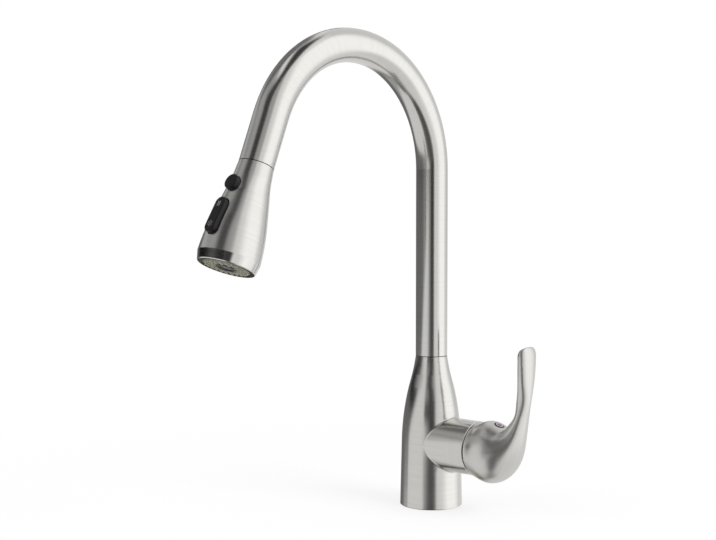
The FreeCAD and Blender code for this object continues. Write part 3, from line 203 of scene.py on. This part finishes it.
# Left card: a low white board beside the table. It has a slanted top edge that fades and a clear back, and
# only mirrors see it.
card_turn = camera_turn - math.radians(60)
card_away = 0.20
card_left = -0.155
card_right = 0.105
card_top = 0.18
card_half_high = 0.35
card_slope = 0.9
fade_below = 0.045
fade_above = 0.035
card_shape = bmesh.new()
bmesh.ops.create_grid(card_shape, x_segments=1, y_segments=1, size=1.0)
bmesh.ops.scale(card_shape, vec=((card_right - card_left) / 2, card_half_high, 1), verts=card_shape.verts)
upright = Matrix.Rotation(-math.pi / 2, 4, "X")
card_middle = Matrix.Translation(((card_left + card_right) / 2, -card_away, 0))
card_stand = Matrix.Rotation(card_turn, 4, "Z") @ card_middle @ upright
bmesh.ops.transform(card_shape, verts=card_shape.verts, matrix=card_stand)
card_mesh = bpy.data.meshes.new("left_card")
card_shape.to_mesh(card_mesh)
card_shape.free()
card = bpy.data.objects.new("left_card", card_mesh)
scene.collection.objects.link(card)
for unseen in ("visible_camera", "visible_diffuse", "visible_transmission", "visible_shadow"):
    setattr(card, unseen, False)
card_paint = bpy.data.materials.new("card_paint")
card_paint.use_nodes = True
card_mesh.materials.append(card_paint)
card_tree = card_paint.node_tree
board = Thread(card_tree.nodes["Principled BSDF"].inputs["Base Color"])
slant = Vector((-card_slope * math.cos(card_turn), -card_slope * math.sin(card_turn), 1))
height = board.node("ShaderNodeTexCoord", output="Object").along(slant)
lit = board.node("ShaderNodeEmission", {}, {"Color": grey(0.80), "Strength": 1.0})
clear = board.node("ShaderNodeBsdfTransparent")
behind = board.node("ShaderNodeNewGeometry", output="Backfacing")
faded = board.maths("MAXIMUM", height.step(card_top - fade_below, card_top + fade_above), behind)
card_mix = board.node("ShaderNodeMixShader", {}, {0: faded, 1: lit, 2: clear})
card_tree.links.new(card_mix.socket, card_tree.nodes["Material Output"].inputs["Surface"])

# Deck: the white sheet that the faucet stands on. It keeps the soft shadow at the base and is plain white
# further out.
deck_radius = 14.0
shadow_start = 0.12
shadow_end = 0.6
shadow_glow = 0.74
deck_shape = bmesh.new()
bmesh.ops.create_circle(deck_shape, cap_ends=True, segments=96, radius=deck_radius)
deck_mesh = bpy.data.meshes.new("deck")
deck_shape.to_mesh(deck_mesh)
deck_shape.free()
deck = bpy.data.objects.new("deck", deck_mesh)
scene.collection.objects.link(deck)
deck.visible_glossy = False
deck_paint = bpy.data.materials.new("deck_paint")
deck_paint.use_nodes = True
deck_mesh.materials.append(deck_paint)
deck_tree = deck_paint.node_tree
matte = deck_tree.nodes["Principled BSDF"]
matte.inputs["Base Color"].default_value = grey(0.9)
matte.inputs["Roughness"].default_value = 0.9
matte.inputs["Specular IOR Level"].default_value = 0.0
deck_ray = Thread(matte.inputs["Base Color"]).node("ShaderNodeLightPath")
deck_spot = deck_ray.node("ShaderNodeTexCoord", output="Object")
away = deck_ray.node("ShaderNodeVectorMath", {"operation": "LENGTH"}, {0: deck_spot}, "Value")
glow = deck_ray.node("ShaderNodeEmission", {}, {"Color": grey(1.0), "Strength": 1.0})
white = shadow_glow + away.step(shadow_start, shadow_end) * (1 - shadow_glow)
glow_share = deck_ray.other("Is Camera Ray") * white
paper = deck_ray.node("ShaderNodeMixShader", {}, {0: glow_share, 1: Thread(matte.outputs[0]), 2: glow})
deck_tree.links.new(paper.socket, deck_tree.nodes["Material Output"].inputs["Surface"])


# Body shell: a bottle-shaped brass casting with a round boss for the valve, turned and then brushed round
# and round, plated in satin nickel.
def finish(name, **constants):
    """A new material: its shader's constants are set, and its coordinates come back as a thread."""
    paint = bpy.data.materials.new(name)
    paint.use_nodes = True
    shader = paint.node_tree.nodes["Principled BSDF"]
    for socket, value in constants.items():
        shader.inputs[socket.replace("_", " ")].default_value = value
    place = Thread(shader.inputs["Base Color"]).node("ShaderNodeTexCoord", output="Object")
    return paint, shader, place


def feed(shader, socket, thread):
    thread.tree.links.new(thread.socket, shader.inputs[socket])


def dress(paint, *names):
    for name in names:
        shape = nodes[name].data
        shape.materials.clear()
        shape.materials.append(paint)


def noise(place, scale, detail=2.0, roughness=0.55):
    settings = {"Vector": place, "Scale": scale, "Detail": detail, "Roughness": roughness}
    return place.node("ShaderNodeTexNoise", {}, settings)


def bumps(shader, height, deep, strength):
    dents = height.node("ShaderNodeBump", {}, {"Strength": strength, "Distance": deep, "Height": height})
    feed(shader, "Normal", dents)


def satin_nickel(name, across_brush, rough, polish=None):
    """Nickel with fine brush lines square to the thread that across_brush picks, and faint wiped patches.
    Where polish picks one, its roughness is halved."""
    paint, shader, place = finish(name, Metallic=1.0)
    pitch = across_brush(place)

    def lines(fine, drift):
        drawn = place.node("ShaderNodeVectorMath", {"operation": "SCALE"}, {0: place, "Scale": drift})
        offset = place.node("ShaderNodeCombineXYZ", {}, {0: pitch * fine, 1: pitch * fine, 2: pitch * fine})
        spot = place.node("ShaderNodeVectorMath", {"operation": "ADD"}, {0: drawn, 1: offset})
        return noise(spot, 1.0, 2.0, 0.6)

    hair = lines(2300, 22)
    streak = lines(420, 9)
    wiped = noise(place, 26.0, 3.0)
    tone = hair * 0.4 + streak * 0.4 + wiped * 0.2
    dull, bright = (0.635, 0.627, 0.598, 1), (0.71, 0.703, 0.678, 1)
    feed(shader, "Base Color", tone.step(0.25, 0.75).blend(dull, bright))
    satin = hair * 0.06 + streak * 0.05 + wiped * 0.07 + (rough - 0.09)
    feed(shader, "Roughness", satin * (1 - polish(place) * 0.5) if polish else satin)
    bumps(shader, hair * 0.5 + streak * 0.5, 0.0001, 0.09)
    return paint


def x_of(place):
    return place.along((1, 0, 0))


def y_of(place):
    return place.along((0, 1, 0))


def z_of(place):
    return place.along((0, 0, 1))


boss_start = 0.034
boss_soft = 0.001


def across_body(place):
    """Down the bottle, and out along the boss."""
    out = x_of(place)
    return out.step(boss_start - boss_soft, boss_start + boss_soft) * (out - z_of(place)) + z_of(place)


dress(satin_nickel("nickel_body", across_body, 0.20), "body_shell")

# Shank: a brass tube with a rolled thread, screwed into the base. The thread's ridges are drawn in its
# material, and the nut runs on them under the deck.
thread_pitch = 0.0015
thread_deep = 0.0009


def thread_ridges(place, pitch):
    """Height of a screw thread's ridges about the upright axis."""
    round_turn = place.maths("ARCTAN2", y_of(place), x_of(place)) / (2 * math.pi)
    return place.maths("PINGPONG", z_of(place) / pitch + round_turn, 0.5) * 2


def machined(name, dark, light, rough):
    """Turned metal: tool rings too fine to count, stains and a dull skin."""
    paint, shader, place = finish(name, Metallic=1.0)
    rings = place.node(
        "ShaderNodeTexWave",
        {"wave_type": "RINGS", "rings_direction": "SPHERICAL"},
        {"Vector": place, "Scale": 900.0, "Distortion": 1.5, "Detail": 2.0},
        "Fac",
    )
    stain_and_shade = noise(place, 90.0, 4.0)
    mix = rings * 0.3 + stain_and_shade * 0.7
    feed(shader, "Base Color", mix.step(0.3, 0.7).blend((*dark, 1), (*light, 1)))
    feed(shader, "Roughness", mix * 0.2 + (rough - 0.1))
    bumps(shader, mix, 0.00005, 0.3)
    return paint, shader, place, stain_and_shade


brass = machined("machined_brass", (0.60, 0.42, 0.17), (0.72, 0.54, 0.27), 0.32)[0]
threaded, shader, place, stain_and_shade = machined("threaded_brass", (0.58, 0.40, 0.16), (0.72, 0.54, 0.27), 0.30)
bumps(shader, thread_ridges(place, thread_pitch) + stain_and_shade * 0.1, thread_deep, 0.9)
dress(threaded, "mounting_shank")
dress(brass, "mounting_nut", "spout_adapter", "hose_fitting", "hose_plug")


# Washers, gasket and seals: black nitrile rubber, pressed to shape, with a fine bloom. They seal the base,
# the deck, the hose's swivel and the valve's spool.
def moulded(name, dark, light, rough, grain=2600.0, dent=0.1, stain_and_shade=None, **constants):
    """Plastic or rubber with a spark-eroded grain and slow tone changes. A paint-over function, where given,
    darkens its tone; the spray plate's one is painted shade in the groove round it.
    """
    paint, shader, place = finish(name, **constants)
    speck = noise(place, grain)
    cloud = noise(place, 70.0, 3.0)
    mix = speck * 0.5 + cloud * 0.5
    tone = mix.step(0.3, 0.7).blend((*dark, 1), (*light, 1))
    feed(shader, "Base Color", stain_and_shade(place, tone) if stain_and_shade else tone)
    feed(shader, "Roughness", mix * 0.2 + (rough - 0.1))
    bumps(shader, speck, 0.0002, dent)
    return paint


dress(
    moulded("black_rubber", (0.018, 0.018, 0.018), (0.034, 0.034, 0.034), 0.7),
    "base_gasket", "rubber_washer", "swivel_washer", "spool_seals",
)

# Steel pieces: the washer, the nut's two screws, the ring, the pins, the set screw, and the valve's spool
# and cap, plain or stainless. The nut, block and link round them in the valve are in dull nickel.
steel = machined("plain_steel", (0.48, 0.48, 0.48), (0.60, 0.60, 0.60), 0.34)[0]
dress(
    steel, "steel_washer", "nut_screws", "snap_ring", "valve_spool", "link_pin", "fulcrum_pin", "rocker_pin",
    "set_screw", "pivot_cap",
)
dull_nickel = machined("dull_nickel", (0.20, 0.195, 0.185), (0.28, 0.275, 0.26), 0.40)[0]
dress(dull_nickel, "retaining_nut", "valve_block", "link_block")

# Bearings and waterways: turned acetal, out of sight in the neck, the valve and the head. The two bushes
# whose edges show in a seam are painted near-black, as painted shade in the seam line.
dress(
    moulded("white_acetal", (0.72, 0.72, 0.70), (0.80, 0.80, 0.79), 0.5),
    "lower_bush", "cartridge_sleeve", "head_core", "swivel_retainer", "diverter_spool", "spray_manifold",
)
dress(moulded("acetal_seam_shade", (0.012, 0.012, 0.012), (0.02, 0.02, 0.02), 0.5), "upper_bush", "dock_bush")

# Gooseneck: one bent tube of 28 mm, belt-brushed round its girth, so the lines follow the bend. It turns on
# the body's neck.
bend_radius = 0.100
riser_top = 0.2975
bend_turn = math.radians(158.3)


def along_tube(place):
    over = z_of(place) - riser_top
    around_bend = place.maths("ARCTAN2", over, y_of(place) + bend_radius)
    return place.maths("MAXIMUM", around_bend, 0.0) * bend_radius + place.maths("MINIMUM", over, 0.0)


dress(satin_nickel("nickel_spout", along_tube, 0.17), "spout_tube")

# Pull hose: nylon braid over a rubber core, inside the spout. The stretch at the mouth comes out with the
# head.
bend_over = bend_radius * (1 - math.cos(bend_turn))
bend_end = Vector((0, -bend_over, riser_top + bend_radius * math.sin(bend_turn)))
mouth_run = 0.0411
down_head = Vector((0.0, -math.sin(bend_turn), math.cos(bend_turn)))
out_head = Vector((0.0, math.cos(bend_turn), math.sin(bend_turn)))
mouth = bend_end + down_head * mouth_run
hose_radius = 0.0062
hose_run = 0.0385
hose_pull = 0.2
hose_cuts = 95


def head_frame(down, out=0.0, lean=0.0):
    """Stands a piece on the head, down and out of the mouth: its Z outward and its Y down the head."""
    outward = out_head * math.cos(lean) - down_head * math.sin(lean)
    downward = down_head * math.cos(lean) + out_head * math.sin(lean)
    side = downward.cross(outward)
    turned = Matrix((side, downward, outward)).transposed().to_4x4()
    return Matrix.Translation(mouth + down_head * down + out_head * out) @ turned


def placed(name, shape, paint, body):
    """Finishes a new piece: its mesh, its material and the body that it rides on."""
    bmesh.ops.remove_doubles(shape, verts=shape.verts, dist=1e-7)
    bmesh.ops.recalc_face_normals(shape, faces=shape.faces)
    mesh = bpy.data.meshes.new(name)
    shape.to_mesh(mesh)
    shape.free()
    mesh.materials.append(paint)
    piece = bpy.data.objects.new(name, mesh)
    scene.collection.objects.link(piece)
    if body:
        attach(piece, body)
    return piece


hose_shape = bmesh.new()
bmesh.ops.create_cone(
    hose_shape, cap_ends=True, segments=32, radius1=hose_radius, radius2=hose_radius, depth=hose_run
)
long_edges = [edge for edge in hose_shape.edges if edge.calc_length() > hose_run / 2]
bmesh.ops.subdivide_edges(hose_shape, edges=long_edges, cuts=hose_cuts, use_grid_fill=True)
wrap = hose_shape.loops.layers.uv.new("braid")
for face in hose_shape.faces:
    middle = face.calc_center_median()
    heading = math.atan2(middle.y, middle.x)
    for loop in face.loops:
        spot = loop.vert.co
        swing = math.atan2(spot.y, spot.x) - heading
        swing = (swing + math.pi) % (2 * math.pi) - math.pi
        share = 0.5 - spot.z / hose_run
        drawn = share * share * (3 - 2 * share)
        loop[wrap].uv = ((heading + swing) / (2 * math.pi), share * hose_run + drawn * hose_pull)
    face.smooth = abs(face.normal.z) < 0.5
lie_along = down_head.to_track_quat("-Z", "Y").to_matrix().to_4x4()
hose_place = Matrix.Translation(bend_end + down_head * hose_run / 2) @ lie_along
bmesh.ops.transform(hose_shape, verts=hose_shape.verts, matrix=hose_place)
strand_count = 12.0
strand_pitch = 0.0034
braid, shader, place = finish("nylon_braid")
weave = place.node("ShaderNodeUVMap", {"uv_map": "braid"})
split = place.node("ShaderNodeSeparateXYZ", {}, {0: weave})
girth = split * strand_count
length = split.other("Y") / strand_pitch
right_lay = place.maths("PINGPONG", girth + length, 0.5) * 2
left_lay = place.maths("PINGPONG", girth - length, 0.5) * 2
strand = place.maths("MAXIMUM", right_lay, left_lay)
yarn = noise(place, 3000.0)
tone = strand * 0.7 + yarn * 0.3
feed(shader, "Base Color", tone.step(0.35, 0.9).blend((0.05, 0.05, 0.052, 1), (0.30, 0.30, 0.30, 1)))
feed(shader, "Roughness", yarn * 0.2 + 0.45)
bumps(shader, strand + yarn * 0.15, 0.0004, 0.7)
pull_hose = placed("pull_hose", hose_shape, braid, None)
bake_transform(pull_hose)
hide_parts("hose_tail")
dress(moulded("hose_sheath", (0.06, 0.06, 0.062), (0.10, 0.10, 0.10), 0.5, 1400.0, 0.4), "spray_hose")


# Spray head shell: a flared cone that docks on the mouth, brushed round its own axis, with a polished band
# round its lip.
def along_head(place):
    return place.along(down_head)


lip_start = 0.0762
lip_soft = 0.0003


def at_lip(place):
    """One on the polished band, and zero above it."""
    return (along_head(place) - mouth.dot(down_head)).step(lip_start - lip_soft, lip_start + lip_soft)


dress(satin_nickel("nickel_head", along_head, 0.23, at_lip), "head_shell")

# Spray face: an olive-grey plate, with soft silicone nozzles that stand through it, round a darker aerator
# with a fine wire screen.
face_edge = 0.0184
groove_soft = 0.0002
screen_pitch = 0.0007


def painted_groove_shade(place, olive):
    """Paints shade into the groove between the plate and the lip: near-black outside face_edge, for the
    shadow in that recess.
    """
    from_axis = place.node("ShaderNodeVectorMath", {"operation": "SUBTRACT"}, {0: place, 1: mouth})
    inward = from_axis.along(out_head)
    sideways = x_of(from_axis)
    reach = place.maths("SQRT", inward * inward + sideways * sideways)
    groove_shade_mask = reach.step(face_edge - groove_soft, face_edge + groove_soft)
    # Painted shade: outside face_edge the plate turns near-black, standing in for the shadow in the groove
    # under the lip.
    return groove_shade_mask.blend(olive, (0.022, 0.022, 0.02, 1))


dress(
    moulded("face_plastic", (0.20, 0.198, 0.155), (0.26, 0.255, 0.20), 0.46, stain_and_shade=painted_groove_shade),
    "spray_plate",
)
dress(moulded("nozzle_silicone", (0.33, 0.325, 0.255), (0.42, 0.41, 0.33), 0.5), "nozzle_pad")
dress(moulded("aerator_plastic", (0.05, 0.05, 0.047), (0.075, 0.075, 0.07), 0.4), "aerator_housing")
wire_mesh, shader, place = finish("wire_screen", Metallic=1.0)
warp = place.maths("PINGPONG", x_of(place) / screen_pitch, 0.5) * 2
weft = place.maths("PINGPONG", place.along(out_head) / screen_pitch, 0.5) * 2
wires = place.maths("MAXIMUM", warp, weft)
# Painted shade: between the wires the solid disc is painted near-black, standing in for the open holes and
# the dark inside of the aerator behind them.
feed(shader, "Base Color", wires.step(0.45, 0.7).blend(grey(0.02), grey(0.5)))
feed(shader, "Roughness", noise(place, 1500.0) * 0.2 + 0.3)
bumps(shader, wires, 0.0003, 0.6)
dress(wire_mesh, "aerator_screen")

# Pause spring: three turns of stainless wire between the head's core and the button. In the faucet it is
# squeezed as the button goes in; here only the share of that squeeze is worked out, and the coil keeps its
# length.
press = next(joint for joint in frame["record"]["behaviour"]["joints"] if joint["name"] == "pause_press")
press_line = Vector(press["axis"])
coil = bmesh.new()
coil.from_mesh(nodes["pause_spring"].data)
bmesh.ops.transform(coil, matrix=nodes["pause_spring"].matrix_world, verts=coil.verts)
for face in coil.faces:
    face.smooth = True
spring_ends = [vert.co.dot(press_line) for vert in coil.verts]
squeezed = 1 - press["range_m"][1] / (max(spring_ends) - min(spring_ends))
pause_coil = placed("pause_coil", coil, steel, "spray_head")
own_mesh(pause_coil)
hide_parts("pause_spring")

# Pause button and mode rocker: black plastic with an eroded grain, in their openings on the head's outer
# side. The rocker has raised marks: dots at its spray end and two bars at its stream end.
black_dark, black_light = (0.004, 0.004, 0.004), (0.008, 0.008, 0.008)
black = moulded("black_plastic", black_dark, black_light, 0.36, dent=0.16, Specular_IOR_Level=0.28)
dress(black, "pause_button", "mode_rocker")
rocker_place = 0.050
rocker_out = 0.0221
rocker_lean = math.radians(9.4)
rocker_proud = 0.0036
rocker_face = head_frame(rocker_place, rocker_out, rocker_lean) @ Matrix.Translation((0, 0, rocker_proud))
mark_end = 0.0085
dot_ring = 0.0019
dot_radius = 0.0005
bar_aside = 0.0009
bar_radius = 0.0004
bar_long = 0.0042
marks = bmesh.new()
for ring, count in ((0.0, 1), (dot_ring, 6)):
    for spot in range(count):
        swing = 2 * math.pi * spot / count
        centre = Matrix.Translation((ring * math.sin(swing), mark_end + ring * math.cos(swing), 0))
        low_dome = centre @ Matrix.Diagonal((1, 1, 0.5, 1))
        bmesh.ops.create_uvsphere(marks, u_segments=12, v_segments=8, radius=dot_radius, matrix=low_dome)
for side in (-1, 1):
    laid = Matrix.Translation((side * bar_aside, -mark_end, 0)) @ Matrix.Rotation(math.pi / 2, 4, "X")
    bar = bmesh.ops.create_cone(
        marks, cap_ends=True, segments=12, radius1=bar_radius, radius2=bar_radius, depth=bar_long,
        matrix=laid,
    )
    bmesh.ops.scale(marks, vec=(1, 1, 0.6), verts=bar["verts"])
bmesh.ops.transform(marks, matrix=rocker_face, verts=marks.verts)
for face in marks.faces:
    face.smooth = True
mark_paint = moulded("mark_grey", (0.16, 0.16, 0.16), (0.22, 0.22, 0.22), 0.5)
placed("rocker_marks", marks, mark_paint, "rocker")

# Lever handle: a zinc casting, brushed by hand along its hub and lever to a soft satin. It rocks on a pin in
# the valve's pivot cap.
dress(satin_nickel("nickel_handle", y_of, 0.34), "handle")

# Index plug: a pressed-in black plastic cap over the set screw; its black rim round the disc is also painted
# shade for the dark gap round the plug. A pale disc lies on its top, with a red and a blue half for hot and
# cold.
dress(moulded("plug_plastic_and_shade", (0.010, 0.010, 0.010), (0.018, 0.018, 0.018), 0.35), "index_plug")
plug_centre = Vector((0.07591, 0, 0.07941))
plug_lean = math.radians(24.0)
plug_face = Matrix.Translation(plug_centre) @ Matrix.Rotation(plug_lean, 4, "Y")
disc_radius = 0.0031
disc_thick = 0.00015
half_radius = 0.0021
half_thick = 0.00012
half_gap = 0.0003


def raised_disc(radius, thick, lift, side=0):
    """A thin disc on the plug's top, or the half of one on a side of the middle line."""
    flat = bmesh.new()
    bmesh.ops.create_circle(flat, cap_ends=True, segments=48, radius=radius)
    if side:
        bmesh.ops.bisect_plane(
            flat, geom=flat.verts[:] + flat.edges[:] + flat.faces[:], plane_co=(0, side * half_gap, 0),
            plane_no=(0, -side, 0), clear_outer=True,
        )
    lifted = bmesh.ops.extrude_face_region(flat, geom=flat.faces[:])
    raised = [item for item in lifted["geom"] if isinstance(item, bmesh.types.BMVert)]
    bmesh.ops.translate(flat, vec=(0, 0, thick), verts=raised)
    bmesh.ops.transform(flat, matrix=plug_face @ Matrix.Translation((0, 0, lift)), verts=flat.verts)
    return flat


pale = moulded("disc_enamel", (0.62, 0.62, 0.61), (0.70, 0.70, 0.69), 0.25)
placed("index_disc", raised_disc(disc_radius, disc_thick, 0.0), pale, "lever")
for name, side, dark, light in (
    ("hot_mark", 1, (0.45, 0.012, 0.012), (0.58, 0.03, 0.025)),
    ("cold_mark", -1, (0.012, 0.05, 0.36), (0.02, 0.09, 0.50)),
):
    half = raised_disc(half_radius, half_thick, disc_thick, side)
    placed(name, half, moulded(name + "_enamel", dark, light, 0.25), "lever")
